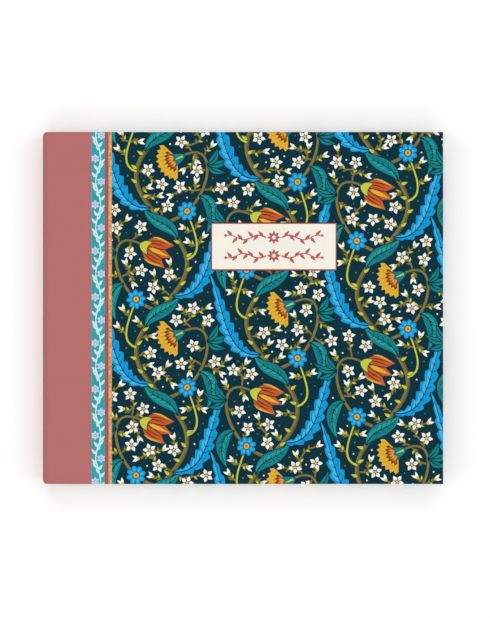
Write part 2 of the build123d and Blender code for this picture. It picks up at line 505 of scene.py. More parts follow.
# Leaves of the print: widths in mm, places and reaches in shares of the leaf
leafDrawing = {
    "notch": 0.46, "lobeStart": 0.001, "notchedFrom": 0.1, "notchedTo": 0.95, "light": 0.62,
    "midrib": (0.26, 0.1), "midribEnd": 0.92,
    "vein": (0.18, 0.05), "veinsFrom": 0.14, "veinsOver": 0.66, "veinReach": 0.9, "veinTurn": 0.75,
}


def drawLeaf(art, line, width, ink, veinInk, lightInk=None, teeth=0, veins=5):
    # a blade along a line, with a lighter half, a midrib and side veins
    style, last = leafDrawing, len(line) - 1

    def edge(t):
        half = width / 2 * swell(t)
        if not teeth or not style["notchedFrom"] < t < style["notchedTo"]:
            return half
        # each lobe swells towards the tip and is cut back there
        lobe = (t * teeth + style["lobeStart"]) % 1.0
        return half * (1.0 - style["notch"] * (1.0 - math.sin(quarterTurn * lobe)))

    lay(art, "leaves", ink, ribbon(line, lambda t: (edge(t), edge(t))), rim="broad")
    if lightInk:
        lay(art, "leaves", lightInk, ribbon(line, lambda t: (style["light"] * edge(t), 0.0)), mark=False)
    midrib = line[: int(len(line) * style["midribEnd"])]
    lay(art, "leaves", veinInk, stroke(midrib, *style["midrib"]), mark=False)
    for k in range(1, veins + 1):
        i = int(last * (style["veinsFrom"] + style["veinsOver"] * k / (veins + 1)))
        x, y = line[i]
        ahead = math.atan2(line[i + 1][1] - y, line[i + 1][0] - x)
        for turn in (style["veinTurn"], -style["veinTurn"]):
            tip = outFrom(x, y, style["veinReach"] * edge(i / last), ahead + turn)
            lay(art, "leaves", veinInk, stroke([(x, y), tip], *style["vein"]), mark=False)


# Flowers of the print: all measures in shares of the flower's size

def drawHeart(art, x, y, size, *rings):
    for ink, radius, sides in rings:
        lay(art, "flowers", ink, disc(x, y, radius * size, sides), mark=False)


def drawStarFlower(art, x, y, size, angle, petals=5, start=0.22):
    white, shade = petal(0.82 * size, 0.58 * size, 0.72), petal(0.42 * size, 0.1 * size, 0.7, 2)
    rings = [petalRing(x, y, petals, start * size, outline, angle) for outline in (white, shade)]
    for white, shade in zip(*rings):
        lay(art, "flowers", "white", white)
        lay(art, "flowers", "shade", shade, mark=False)
    drawHeart(art, x, y, size, ("gold", 0.2, 7), ("lime", 0.1, 5))


def drawTulip(art, x, y, size, angle):
    # three pointed petals in a cup, with dark veins and golden edges
    put = flowerPen(art, x, y, size, angle)
    half = bezier((-0.02, -0.1), (0.1, -0.62), (0.62, -0.52), (1.02, -0.46), 7)
    half += bezier((1.02, -0.46), (0.84, -0.28), (0.76, -0.2), (0.74, -0.17), 3)[1:]
    put("rust", half + [(1.1, 0.0)] + mirrored(half), rim="broad")
    for side in (1, -1):
        line = bezier((0.02, 0.0), (0.34, 0.1 * side), (0.62, 0.12 * side), (0.76, 0.18 * side), 6)
        put("rustDark", stroke(line, 0.035, 0.02), mark=False)
        for out in (0.26 * side, 0.38 * side):
            line = bezier((0.08, 0.6 * out), (0.3, out), (0.5, 1.05 * out), (0.8, out), 5)
            put("rustDark", spindle(line, 0.022), mark=False)
        line = bezier((0.14, 0.43 * side), (0.4, 0.53 * side), (0.66, 0.47 * side), (0.9, 0.44 * side), 5)
        put("gold", spindle(line, 0.03), mark=False)
    flame = bezier((0.16, 0.0), (0.4, 0.0), (0.7, 0.0), (1.0, 0.0), 6)
    put("gold", spindle(flame, 0.075, tip=0.003, power=0.7), mark=False)
    cup = bezier((-0.2, 0.0), (-0.12, 0.2), (0.06, 0.26), (0.2, 0.24), 5)
    rim = bezier((0.2, 0.24), (0.08, 0.1), (0.08, -0.1), (0.2, -0.24), 5)[1:-1]
    put("lime", cup + rim + mirrored(cup[1:]), rim="middle")


def drawCarnation(art, x, y, size, angle):
    # a fan of toothed petals over a striped base and a green cup
    put = flowerPen(art, x, y, size, angle)

    def fan(start, outer, spread, teeth, depth):
        points = [(start, 0.0)]
        for k in range(2 * teeth + 1):
            r = outer if k % 2 else outer * (1.0 - depth)
            points.append(outFrom(0.0, 0.0, r, spread * (k / teeth - 1)))
        return points

    put("gold", fan(0.05, 1.0, 1.12, 9, 0.13), rim="broad")
    put("brown", fan(0.1, 0.66, 0.98, 7, 0.2), mark=False)
    put("rust", fan(0.1, 0.54, 0.9, 7, 0.22), mark=False)
    for k in range(-4, 5):
        ray = ((0.66, -0.025), (0.9, 0.0), (0.66, 0.025))
        put("goldDeep", [outFrom(0.0, 0.0, r, 0.24 * k + a) for r, a in ray], mark=False)
    for k in range(-2, 3):
        a = 0.3 * k
        put("gold", turned(petal(0.26, 0.07), *outFrom(0.0, 0.0, 0.22, a), a), mark=False)
    cup = bezier((-0.28, 0.06), (-0.12, 0.2), (0.06, 0.2), (0.24, 0.3), 5)
    put("teal", cup + [(0.12, 0.1), (0.26, 0.0), (0.12, -0.1)] + mirrored(cup), rim="middle")
    put("lime", stroke([(-0.2, 0.0), (0.0, 0.0), (0.14, 0.0)], 0.045, 0.015), mark=False)


def drawRosette(art, x, y, size, angle, lobes=8, perLobe=4):
    edge = []
    for k in range(lobes * perLobe):
        a = fullTurn * k / (lobes * perLobe)
        edge.append(outFrom(x, y, size * (0.7 + 0.3 * abs(math.sin(lobes * a / 2))), a + angle))
    lay(art, "flowers", "blue", edge, rim="middle")
    inner = petal(0.46 * size, 0.22 * size)
    for outline in petalRing(x, y, lobes, 0.4 * size, inner, angle + math.pi / lobes):
        lay(art, "flowers", "blueLight", outline, mark=False)
    drawHeart(art, x, y, size, ("ground", 0.38, 12), ("gold", 0.3, 10), ("rust", 0.13, 7))


# The side paper's print: winding vines in columns, with white stars in the gaps
sidePrint = {
    "bandEnd": 25.74, "roseEnd": 27.15, "goldEnd": 28.6,  # border band and stripes, from the spine edge
    "bleed": 9.0,  # the print goes on over the edges, to just under the pastedown
    "columns": 3, "firstColumn": 0.45, "drop": 12.0, "seed": 11,
    "tulip": 11.0, "carnation": 9.4, "rosette": 4.1, "rosetteTurn": 0.3,
    "star": 2.75, "starRoom": 3.6, "budRoom": 2.7, "dotRoom": 2.1, "dot": 0.36,
    "budPetal": (2.9, 1.15, 0.75), "budSpread": 0.42, "budCup": (1.5, 1.3, 0.55), "budCupBack": 0.5,
}
vine = {
    "repeat": 72.5, "swing": 10.5, "stem": 0.85, "stemShade": (-0.3, 0.75), "stemStep": 2.0,
    # heights on the stem are in shares of half a repeat, the rest in mm to the side of the bulge and up
    "scrollDown": 1.0, "heart": (-9.0, 0.62), "scrollBends": ((-20.0, 3.0), (-17.0, 15.0), (2.0, 3.0)),
    "scroll": (0.65, 0.4), "scrollSteps": 18, "scrollLeafAt": 6, "sprayAt": 11,
    "bloom": (10.5, 1.1), "stalkFrom": 0.55, "stalkBends": ((18.0, 0.62), (3.0, -9.0)), "stalk": (0.42, 0.3),
    "spray": ((2.2, 8.0), (1.5, 9.5), (0.8, 8.0)), "sprayWide": 2.6, "sprayBow": (0.55, 0.3),
    "buds": (0.1, 0.8, 0.16), "bud": (3.0, 1.4), "budTurn": 0.5, "budSway": 0.25,
    "bladeAt": 0.14, "stemLeafAt": 0.78,
}
# how each kind of leaf bends away from its start, in how many steps, and its width, inks, teeth and veins
vineLeaves = {
    "blade": (((15.0, -2.0), (15.0, 19.0), (21.0, 33.0)), 45, (7.0, "blue", "navy", "blueLight", 9, 8)),
    "scrollLeaf": (((-5.0, -1.0), (-7.0, -8.0), (-3.0, -15.0)), 14, (5.0, "teal", "ground", "tealLight")),
    "stemLeaf": (((-3.0, 8.0), (-11.0, 6.0), (-14.0, 13.0)), 16, (5.4, "teal", "ground", "tealLight")),
}
twig = {"start": 0.36, "end": 0.28, "bow": 0.3, "leaf": (1.9, 0.85),
        "leaves": ((2, 0.9, "olive"), (3, -0.9, "lime"), (4, 0.8, "olive"))}


def drawVine(art, middle, phase, rng):
    # one upright stem with its scrolls, flowers and leaves; gives back the points that twigs may grow from
    half = vine["repeat"] / 2
    low, high = art["gy"][0], art["gy"][-1]
    step = vine["stemStep"]

    def stemAt(y):
        return middle + vine["swing"] * math.sin(math.pi / half * (y - phase)), y

    def aside(start, offset):
        return start[0] + side * offset[0], start[1] + offset[1]

    stem = [stemAt(float(y)) for y in np.arange(low - step, high + 2 * step, step)]
    lay(art, "stems", "olive", stroke(stem, vine["stem"], vine["stem"]), rim="middle")
    lay(art, "stems", "oliveDark", ribbon(stem, lambda t: vine["stemShade"]), mark=False)
    joins = stem[::2]
    k = math.floor((low - phase) / half) - 1
    while phase + half * k < high + half:
        y0 = phase + half * k
        side = 1 if k % 2 == 0 else -1  # the stem bulges to this side between y0 and y0 + half
        # scroll into the hollow of the bulge, ending in a flower
        root = stemAt(y0 - vine["scrollDown"])
        heart = aside((middle, y0), (vine["heart"][0], half * vine["heart"][1]))
        rise, over, end = vine["scrollBends"]
        scroll = bezier(root, aside(root, rise), aside(heart, over), aside(heart, end), vine["scrollSteps"])
        lay(art, "stems", "olive", stroke(scroll, *vine["scroll"]), rim="middle")
        joins += scroll[4::3]
        aim = math.atan2(scroll[-1][1] - scroll[-3][1], scroll[-1][0] - scroll[-3][0])
        if side == 1:
            drawTulip(art, *scroll[-1], sidePrint["tulip"], aim)
        else:
            drawCarnation(art, *scroll[-1], sidePrint["carnation"], aim)
        # long toothed leaf on the outside of the bulge, then plain leaves off the scroll and off the stem
        starts = (stemAt(y0 + half * vine["bladeAt"]), scroll[vine["scrollLeafAt"]],
                  stemAt(y0 + half * vine["stemLeafAt"]))
        for start, (bends, steps, look) in zip(starts, vineLeaves.values()):
            drawLeaf(art, bezier(start, *(aside(start, bend) for bend in bends), steps), *look)
        # blue flower on a pale stalk
        bloom = aside((middle, y0), (vine["bloom"][0], half * vine["bloom"][1]))
        (outX, outUp), lastBend = vine["stalkBends"]
        stalk = bezier(stemAt(y0 + half * vine["stalkFrom"]), aside((middle, y0), (outX, half * outUp)),
                       aside(bloom, lastBend), bloom, 10)
        lay(art, "stems", "lime", stroke(stalk, *vine["stalk"]), rim="fine")
        joins += stalk[4::3]
        drawRosette(art, *bloom, sidePrint["rosette"], sidePrint["rosetteTurn"] * k)
        # spray of narrow leaves off the scroll
        (x, y), (nextX, nextY) = scroll[vine["sprayAt"]:vine["sprayAt"] + 2]
        bendShare, bendTurn = vine["sprayBow"]
        for turn, size in vine["spray"]:
            a = math.atan2(nextY - y, nextX - x) + side * turn
            bend = outFrom(x, y, bendShare * size, a + bendTurn * side)
            line = bezier((x, y), bend, bend, outFrom(x, y, size, a), 9)
            drawLeaf(art, line, vine["sprayWide"], "teal", "ground", veins=0)
        # buds up the stem, as far as the leaf that crosses it
        for share in np.arange(*vine["buds"]):
            x, y = stemAt(y0 + half * share)
            a = rng.choice((vine["budTurn"], math.pi - vine["budTurn"]))
            a += rng.uniform(-vine["budSway"], vine["budSway"])
            lay(art, "leaves", "lime", turned(petal(*vine["bud"]), x, y, a), rim="fine")
        k += 1
    return joins


def drawTwig(art, x, y, joins, rng):
    # from the nearest stem or twig to a blossom; gives back the way it points
    jx, jy = min(joins, key=lambda j: (x - j[0]) ** 2 + (y - j[1]) ** 2)
    bow = rng.uniform(-twig["bow"], twig["bow"])
    mid = ((x + jx) / 2 - bow * (y - jy), (y + jy) / 2 + bow * (x - jx))
    line = bezier((jx, jy), mid, mid, (x, y), 6)
    lay(art, "twigs", "olive", stroke(line, twig["start"], twig["end"]))
    joins += line[2:5]
    a = math.atan2(y - jy, x - jx)
    for k, turn, ink in twig["leaves"]:
        lay(art, "twigs", ink, turned(petal(*twig["leaf"]), *line[k], a + turn))
    return a


def drawBud(art, x, y, angle):
    for turn in (sidePrint["budSpread"], -sidePrint["budSpread"]):
        lay(art, "flowers", "white", turned(petal(*sidePrint["budPetal"]), x, y, angle + turn))
    cupStart = outFrom(x, y, -sidePrint["budCupBack"], angle)
    lay(art, "flowers", "lime", turned(petal(*sidePrint["budCup"]), *cupStart, angle))


def drawField(left, right, bottom, top):
    rng = random.Random(sidePrint["seed"])
    art = newArt(left, right, bottom, top)
    span = (bookWide - sidePrint["goldEnd"]) / sidePrint["columns"]
    joins = []
    for column in range(-1, sidePrint["columns"] + 2):
        middle = left + span * (column + sidePrint["firstColumn"])
        joins += drawVine(art, middle, sidePrint["drop"] * column, rng)
    for blossom in ("star", "bud"):
        spots = bareSpots(art, sidePrint[blossom + "Room"], rng)
        while spots:  # nearest to a stem first, so that twigs branch off each other
            gaps = [min((x - u) ** 2 + (y - v) ** 2 for u, v in joins) for x, y in spots]
            x, y = spots.pop(gaps.index(min(gaps)))
            a = drawTwig(art, x, y, joins, rng)
            if blossom == "star":
                drawStarFlower(art, x, y, sidePrint["star"], rng.uniform(0, fullTurn))
            else:
                drawBud(art, x, y, a)
    for x, y in bareSpots(art, sidePrint["dotRoom"], rng):
        lay(art, "flowers", rng.choice(("white", "olive", "teal")), disc(x, y, sidePrint["dot"], 8))
    return [shape for layer in art["layers"].values() for shape in layer]


borderBand = {
    "wave": 0.95, "period": 19.0, "stem": 0.27, "lineStep": 0.5, "margin": 0.05,
    "leaf": (2.9, 1.35), "rib": (0.7 * 2.9, 0.2), "ribUp": 0.5,
    # height over a bend of the stem, side of it, and turn from upright
    "leaves": ((1.6, 1, 0.75), (3.1, -1, 0.55), (4.6, 1, 0.7), (5.5, -1, 0.85), (-2.4, 1, 0.8)),
    "daisy": 1.95, "daisyAside": 1.25, "daisyDown": 0.2, "daisyGround": 0.2, "petals": 6, "petalStart": 0.42,
    "petalWide": 1.15, "petalPoint": 0.75, "heart": 0.34,
}


def drawBand(left, right, bottom, top):
    # white leafy stem with daisies in its bends, on teal
    middle, period, step = (left + right) / 2, borderBand["period"], borderBand["lineStep"]
    leaf, rib = petal(*borderBand["leaf"]), petal(*borderBand["rib"], steps=2)
    count, start, daisy = borderBand["petals"], borderBand["petalStart"], borderBand["daisy"]
    daisyPetal = petal(daisy - start, borderBand["petalWide"], borderBand["petalPoint"])

    def at(y):
        return middle + borderBand["wave"] * math.sin(fullTurn * y / period), y

    line = [at(float(y)) for y in np.arange(bottom, top + step, step)]
    shapes = [("bandWhite", stroke(line, borderBand["stem"], borderBand["stem"]))]
    for k in range(math.floor(2 * bottom / period) - 1, math.ceil(2 * top / period) + 1):
        side, y0 = 1 if k % 2 == 0 else -1, period / 2 * (k + 0.5)  # the stem bends to this side at y0
        for up, way, turn in borderBand["leaves"]:
            a = quarterTurn - side * way * turn
            shapes.append(("bandWhite", turned(leaf, *at(y0 + up), a)))
            shapes.append(("bandTeal", turned(rib, *at(y0 + up + borderBand["ribUp"]), a)))
        x, y = middle - side * borderBand["daisyAside"], y0 - borderBand["daisyDown"]
        shapes.append(("bandTeal", disc(x, y, daisy + borderBand["daisyGround"], 12)))
        for outline in petalRing(x, y, count, start, daisyPetal, math.pi / count):
            shapes.append(("bandLilac", outline))
        shapes.append(("bandWhite", disc(x, y, borderBand["heart"], 8)))
    l, r = left + borderBand["margin"], right - borderBand["margin"]
    inside = [(ink, heldIn(points, l, r)) for ink, points in shapes]
    return [("bandTeal", rectangle(left, right, bottom, top))] + inside


stripes = {"spotInset": 0.35, "spot": (0.2, 0.5), "step": (0.5, 1.1),
           "inks": ("goldPale", "goldPale", "goldWarm")}


def drawStripes(bottom, top):
    # a rose line and a mottled golden one
    rng = random.Random(sidePrint["seed"])
    l, m, r = sidePrint["bandEnd"], sidePrint["roseEnd"], sidePrint["goldEnd"]
    shapes = [("roseStripe", rectangle(l, m, bottom, top)), ("goldStripe", rectangle(m, r, bottom, top))]
    y = bottom
    while y < top:
        x = rng.uniform(m + stripes["spotInset"], r - stripes["spotInset"])
        spot = disc(x, y, rng.uniform(*stripes["spot"]), 6)
        shapes.append((rng.choice(stripes["inks"]), heldIn(spot, m, r)))
        y += rng.uniform(*stripes["step"])
    return shapes


titlePanel = {
    "left": 69.5, "right": 121.1, "bottom": 15.6, "top": 35.0, "border": 0.42, "rim": 0.25,
    "row": 3.75, "start": 3.2, "pitch": 1.08, "points": 16, "wave": 0.95, "waveTurn": 0.56,
    "stem": (0.32, 0.18), "leaf": (3.2, 1.35), "leafTurn": 0.8, "bead": 0.6, "beadOut": 0.5,
    "petals": 8, "petalStart": 0.6, "petal": (2.9 - 0.6, 1.3),
}


def drawTitlePanel():
    # cream panel with a rose line round it, and two rows of a plain printer's ornament
    l, r, b, t = (titlePanel[k] for k in ("left", "right", "bottom", "top"))
    shapes = []
    for ink, inset in (("ground", -titlePanel["rim"]), ("rose", 0.0), ("cream", titlePanel["border"])):
        shapes.append((ink, rectangle(l + inset, r - inset, b + inset, t - inset)))
    cx, count, turn = (l + r) / 2, titlePanel["points"], titlePanel["leafTurn"]
    outlines = []
    for tilt in (1, -1):
        cy = (b + t) / 2 + tilt * titlePanel["row"]
        for side in (1, -1):
            line = []
            for k in range(count):
                wave = titlePanel["wave"] * tilt * math.sin(titlePanel["waveTurn"] * k)
                line.append((cx + side * (titlePanel["start"] + titlePanel["pitch"] * k), cy + wave))
            outlines.append(stroke(line, *titlePanel["stem"]))
            for k in range(1, count - 1, 2):
                a = (0.0 if side > 0 else math.pi) + side * (turn if k % 4 == 1 else -turn)
                outlines.append(turned(petal(*titlePanel["leaf"]), *line[k], a))
            endX, endY = line[-1]
            outlines.append(disc(endX + side * titlePanel["beadOut"], endY, titlePanel["bead"], 10))
        flower = petal(*titlePanel["petal"])
        outlines += petalRing(cx, cy, titlePanel["petals"], titlePanel["petalStart"], flower)
    return shapes + [("rose", outline) for outline in outlines]


def drawSheet():
    # the shapes of one side paper from the lowest up, without the title panel
    right, top = bookWide + sidePrint["bleed"], case["headY"] + sidePrint["bleed"]
    shapes = drawField(sidePrint["goldEnd"], right, -top, top)
    return shapes + drawStripes(-top, top) + drawBand(stripWide, sidePrint["bandEnd"], -top, top)


sheetShapes = drawSheet()
print("print drawn:", len(sheetShapes), "shapes,", sum(len(p) for _, p in sheetShapes), "points")


# Covering folded over the edge of a board

def foldOver(s, deep, layer, edgeRound):
    # s runs along the covering from where the edge begins to round, layer is the depth below its outer side;
    # gives how far out it lies from that start, and how far down from the outer face
    quarter = quarterTurn * edgeRound
    wall = deep - 2 * edgeRound
    inner = edgeRound - layer
    if s <= 0:
        return s, layer
    if s <= quarter:
        a = s / edgeRound
        return inner * math.sin(a), edgeRound - inner * math.cos(a)
    if s <= quarter + wall:
        return inner, edgeRound + s - quarter
    if s <= 2 * quarter + wall:
        a = (s - quarter - wall) / edgeRound
        return inner * math.cos(a), edgeRound + wall + inner * math.sin(a)
    return 2 * quarter + wall - s, deep - layer


def foldStations(deep, edgeRound, steps):
    # places along s where the covering bends; with no wall between, the second bend follows on the first
    quarter = quarterTurn * edgeRound
    wall = deep - 2 * edgeRound
    first = [quarter * k / steps for k in range(steps + 1)]
    return first + [quarter + wall + v for v in first[0 if wall > 0 else 1:]]


# Printed side papers: one sheet each, folded round three edges with mitred corners
sidePaper = {
    "fore": bookWide - case["edgeRound"], "head": case["headY"] - case["edgeRound"],  # ends of its flat face
    "foldSteps": 3, "mapMargin": 0.02, "innerMap": 0.1,
    "near": 1e-3, "digits": 3,  # points that are as near as this are one point
}


def sheetOutline():
    r, slit = case["edgeRound"], case["mitreSlit"]
    quarter, wall = quarterTurn * r, case["deep"] - 2 * r
    inFold = 2 * quarter + wall  # where the turn-in begins
    width = case["turnIn"] - r
    corner = [(-width - slit, inFold + width), (-slit, inFold), (quarter, quarter + wall), (quarter, quarter),
              (quarter + wall, quarter), (inFold, -slit), (inFold + width, -width - slit)]
    upper = [(sidePaper["fore"] + sx, sidePaper["head"] + sy) for sx, sy in corner]
    upper = [(stripWide, sidePaper["head"] + inFold + width)] + upper
    return [(x, -y) for x, y in upper] + upper[::-1]


def foldLines():
    beyond = case["deep"] + case["turnIn"]
    far, top = bookWide + beyond, case["headY"] + beyond
    lines = []
    for s in foldStations(case["deep"], case["edgeRound"], sidePaper["foldSteps"]):
        x, y = sidePaper["fore"] + s, sidePaper["head"] + s
        lines += [((x, -top), (x, top)), ((stripWide, y), (far, y)), ((stripWide, -y), (far, -y))]
    return lines


def foldSheet(x, y, layer, onFront):
    fore, head = sidePaper["fore"], sidePaper["head"]
    outX, downX = foldOver(x - fore, case["deep"], layer, case["edgeRound"])
    outY, downY = foldOver(abs(y) - head, case["deep"], layer, case["edgeRound"])
    down = max(downX, downY)
    z = case["topZ"] - down if onFront else down
    return inMetres(case["spineX"] + fore + outX, math.copysign(head + outY, y), z)


def triangulate(polygons):
    # triangles of all the shapes at once, cut along the folds, with the numbers of the shapes each lies in
    points, faces, edges = [], [], []
    for polygon in polygons:
        ring = list(range(len(points), len(points) + len(polygon)))
        faces.append(ring if signedArea(polygon) > 0 else ring[::-1])  # it fills to the left of an outline
        points += [Vector(p) for p in polygon]
    for line in foldLines():
        edges.append((len(points), len(points) + 1))
        points += [Vector(p) for p in line]
    insideOnly, keepOwners = 1, True
    made = delaunay_2d_cdt(points, edges, faces, insideOnly, sidePaper["near"], keepOwners)
    flat = [(p.x, p.y) for p in made[0]]
    inSheet = [(list(triangle), max(owners)) for triangle, owners in zip(made[2], made[5]) if 0 in owners]
    return flat, [triangle for triangle, _ in inSheet], [top for _, top in inSheet]


def openLoop(triangles):
    # the open edges of a flat mesh, as one ring of corners
    sides = set((t[k], t[(k + 1) % 3]) for t in triangles for k in range(3))
    follows = {a: b for a, b in sides if (b, a) not in sides}
    loop = [min(follows)]
    while follows[loop[-1]] != loop[0]:
        loop.append(follows[loop[-1]])
    return loop


def inkSheet(piece, faces, flat, colours, outerCount):
    # the ink of each face, and a map with the outer side large and the glued side small beside it
    corners = [len(f) for f in faces]
    tones = np.repeat([srgb(*c) for c in colours], corners, axis=0).astype(np.float32)
    piece.data.color_attributes.new("ink", "FLOAT_COLOR", "CORNER").data.foreach_set("color", tones.ravel())
    margin, small = sidePaper["mapMargin"], sidePaper["innerMap"]
    uv = np.array([flat[i] for f in faces for i in f])
    uv -= uv.min(axis=0)
    uv *= (1 - 2 * margin) / uv[:, 1].max()
    isInner = np.repeat(np.arange(len(faces)) >= outerCount, corners)
    uv[isInner] *= small / uv[:, 0].max()
    uv[isInner, 0] += 1 - 2 * margin - small
    setMap(piece, "OFBake", uv + margin)


def makeSidePaper(name, shapes, onFront):
    flat, outer, owners = triangulate([sheetOutline()] + [points for _, points in shapes])
    inkOf = ["ground"] + [ink for ink, _ in shapes]
    colours = [inks[inkOf[owner]] for owner in owners]
    # the glued side has no print, so it is cut only along the folds, and a rim joins the two
    loop, start = openLoop(outer), len(flat)
    innerFlat, inner, _ = triangulate([[flat[i] for i in loop]])
    places = [foldSheet(x, y, 0.0, onFront) for x, y in flat]
    places += [foldSheet(x, y, case["covering"], onFront) for x, y in innerFlat]
    flat += innerFlat

    def spot(i):
        return tuple(round(v, sidePaper["digits"]) for v in flat[i])

    atSpot = {spot(i): i for i in range(start, len(flat))}
    faces = outer + [[start + i for i in t[::-1]] for t in inner]
    faces += [[b, a, atSpot[spot(a)], atSpot[spot(b)]] for a, b in zip(loop, loop[1:] + loop[:1])]
    colours += [inks["bare"]] * (len(faces) - len(colours))
    if not onFront:
        faces = [f[::-1] for f in faces]
    piece = meshPiece(name, places, faces)
    inkSheet(piece, faces, flat, colours, len(outer))
    wear(piece, printedPaper)
    smooth(piece)
    return piece


for side, extra, onFront in (("front", drawTitlePanel(), True), ("back", [], False)):
    paper = makeSidePaper(f"{side}SidePaper", sheetShapes + extra, onFront)
    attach(paper, f"{side}_cover")
    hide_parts(f"{side}_cover_paper")
    print(paper.name, "folded:", len(paper.data.polygons), "faces")


# Spine cloth: side strips on the boards, bends at the joints and the spine, turned in at head and tail
spineCloth = {"flatSteps": 4, "arcSteps": 12, "foldSteps": 4, "bodyRows": 4, "turnInRows": 3, "doubled": 0.64}


def headEdge(x):
    # how far up the covering goes in plan, with the spine's rounded corner
    r = case["spineCorner"]
    short = max(0.0, r - (x - case["spineX"]))
    return case["headY"] - r + math.sqrt(max(0.0, r * r - short * short))


def clothRows(deep, layer):
    # one half of the strip from mid-height to the end of its turn-in: kind, place and depth of each row
    r = min(case["edgeRound"], deep / 2)
    rows = [("body", k / spineCloth["bodyRows"], layer) for k in range(spineCloth["bodyRows"] + 1)]
    for s in foldStations(deep, r, spineCloth["foldSteps"])[1:]:
        out, down = foldOver(s, deep, layer, r)
        rows.append(("edge", out - r, down))
    width = case["turnIn"] - r
    for k in range(1, spineCloth["turnInRows"] + 1):
        rows.append(("edge", -r - width * k / spineCloth["turnInRows"], deep - layer))
    return rows, r


def clothPlace(station, row, edgeRound, side):
    x, z, inX, inZ = station
    kind, along, down = row
    px, pz = x + inX * down, z + inZ * down
    y = along * (headEdge(x) - edgeRound) if kind == "body" else headEdge(px) + along
    return inMetres(px, side * y, pz)


def clothFaces(along, across):
    # outer side, inner side and the rim between them
    faces = []
    inner = along * across
    for base in (0, inner):
        for i in range(along - 1):
            for j in range(across - 1):
                a = base + i * across + j
                quad = [a, a + across, a + across + 1, a + 1]
                faces.append(quad if base == 0 else quad[::-1])
    rim = [i * across for i in range(along)] + [(along - 1) * across + j for j in range(1, across)]
    rim += [i * across + across - 1 for i in range(along - 2, -1, -1)] + list(range(across - 2, 0, -1))
    return faces + [[b, a, a + inner, b + inner] for a, b in zip(rim, rim[1:] + rim[:1])]


def makeCloth(name, stations, deep, flatStart):
    places, flat = [], []
    for layer in (0.0, case["covering"]):
        half, edgeRound = clothRows(deep, layer)
        rows = [(-1, row) for row in half[:0:-1]] + [(1, row) for row in half]
        length = flatStart
        for i, station in enumerate(stations):
            length += math.dist(stations[i - 1][:2], station[:2]) if i else 0.0
            line = [clothPlace(station, row, edgeRound, side) for side, row in rows]
            run = 0.0
            for j, p in enumerate(line):
                run += math.dist(line[j - 1], p) / mm if j else 0.0
                places.append(p)
                flat.append((length, run))
    faces = clothFaces(len(stations), len(rows))
    piece = meshPiece(name, places, faces)
    setMap(piece, "strip", [flat[i] for f in faces for i in f])
    editAll(piece)
    bpy.ops.mesh.normals_make_consistent(inside=False)
    endEdit()
    wear(piece, roseCloth)
    smooth(piece)
    return piece


shoulder, topZ = case["shoulder"], case["topZ"]
sideLength = case["seamX"] - case["jointX"]
flatShares = [k / spineCloth["flatSteps"] for k in range(spineCloth["flatSteps"] + 1)]
for side, face, down in (("front", topZ, -1), ("back", 0.0, 1)):
    line = [(case["seamX"] - sideLength * share, face, 0, down) for share in flatShares]
    strip = makeCloth(f"{side}SideCloth", line, case["deep"], 0.0)
    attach(strip, f"{side}_cover")
    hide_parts(f"{side}_spine_cloth")
    arc = []
    for k in range(spineCloth["arcSteps"] + 1):
        a = quarterTurn * k / spineCloth["arcSteps"]
        out, up = math.sin(a), math.cos(a)
        arc.append((case["jointX"] - shoulder * out, face + down * shoulder * (1 - up), out, down * up))
    bend = makeCloth(f"{side}JointCloth", arc, spineCloth["doubled"], sideLength)
    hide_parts(f"{side}_joint_cloth")
    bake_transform(bend)
line = [(case["spineX"], topZ - shoulder - (topZ - 2 * shoulder) * share, 1, 0) for share in flatShares]
backCloth = makeCloth("spineCloth", line, case["deep"], sideLength + quarterTurn * shoulder)
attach(backCloth, "spine")
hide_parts("spine_cloth")
print("spine cloth made")


# Leaves: ruled pages, index cards with a tab each, and blank flyleaves
leafShape = {
    "gutterX": boxOf("leaf_gutters")[0][0] + 0.02,  # just clear of the mull
    "foreX": boxOf("pages_yz")[1][0], "headY": boxOf("pages_yz")[1][1],
    "tabDepth": 7.0, "tabRound": 1.8, "roundSteps": 4, "near": 0.01, "perSection": 5, "birthdays": 10,
    "pageGap": 0.018, "shuffle": 0.06, "leastShuffle": 0.3, "outShare": 0.5, "seed": 5,
    # a leaf bends from a little past its fold, the further up the book the longer, so that the bends nest
    "bendStart": 1.0, "bendLength": 8.5, "bendGrowth": 1.9, "lowestBend": 2.0, "bendCuts": 12,
}
letterPairs = ("ab", "cd", "ef", "gh", "ij", "kl", "mn", "op", "qr", "st", "uv", "wx", "yz")
tabRow = 2 * leafShape["headY"] / len(letterPairs)
tabX = leafShape["foreX"] - leafShape["tabDepth"]
tabTints = ((186, 96, 94), (46, 150, 152), (222, 178, 84), (64, 104, 124))
leafPaper = {"page": (247, 243, 231), "card": (245, 240, 227), "darkEdge": (206, 197, 178),
             "paleEdge": (240, 235, 221), "hairInset": 1.0, "hair": 0.12}
ruling = {
    # an entry is five lines and ends in a strong one
    "pitch": 7.5, "line": 0.24, "perEntry": 5, "strongLine": 0.5,
    "top": 57.0, "bottom": -57.0, "left": -58.0, "right": 66.0, "columnX": -44.0,
    "grey": (146, 164, 170), "teal": (84, 150, 152), "rose": (204, 130, 128), "cover": 0.85,
}


def bandMask(tree, value, middle, halfWidth):
    # 1 where the value lies within a narrow band
    return sums(tree, "LESS_THAN", sums(tree, "ABSOLUTE", less(tree, value, middle)), halfWidth)


def between(tree, value, low, high):
    return times(tree, sums(tree, "GREATER_THAN", value, low), sums(tree, "LESS_THAN", value, high))


def rulesAt(tree, value, pitch, width):
    return bandMask(tree, sums(tree, "WRAP", value, pitch), pitch / 2, width / 2)


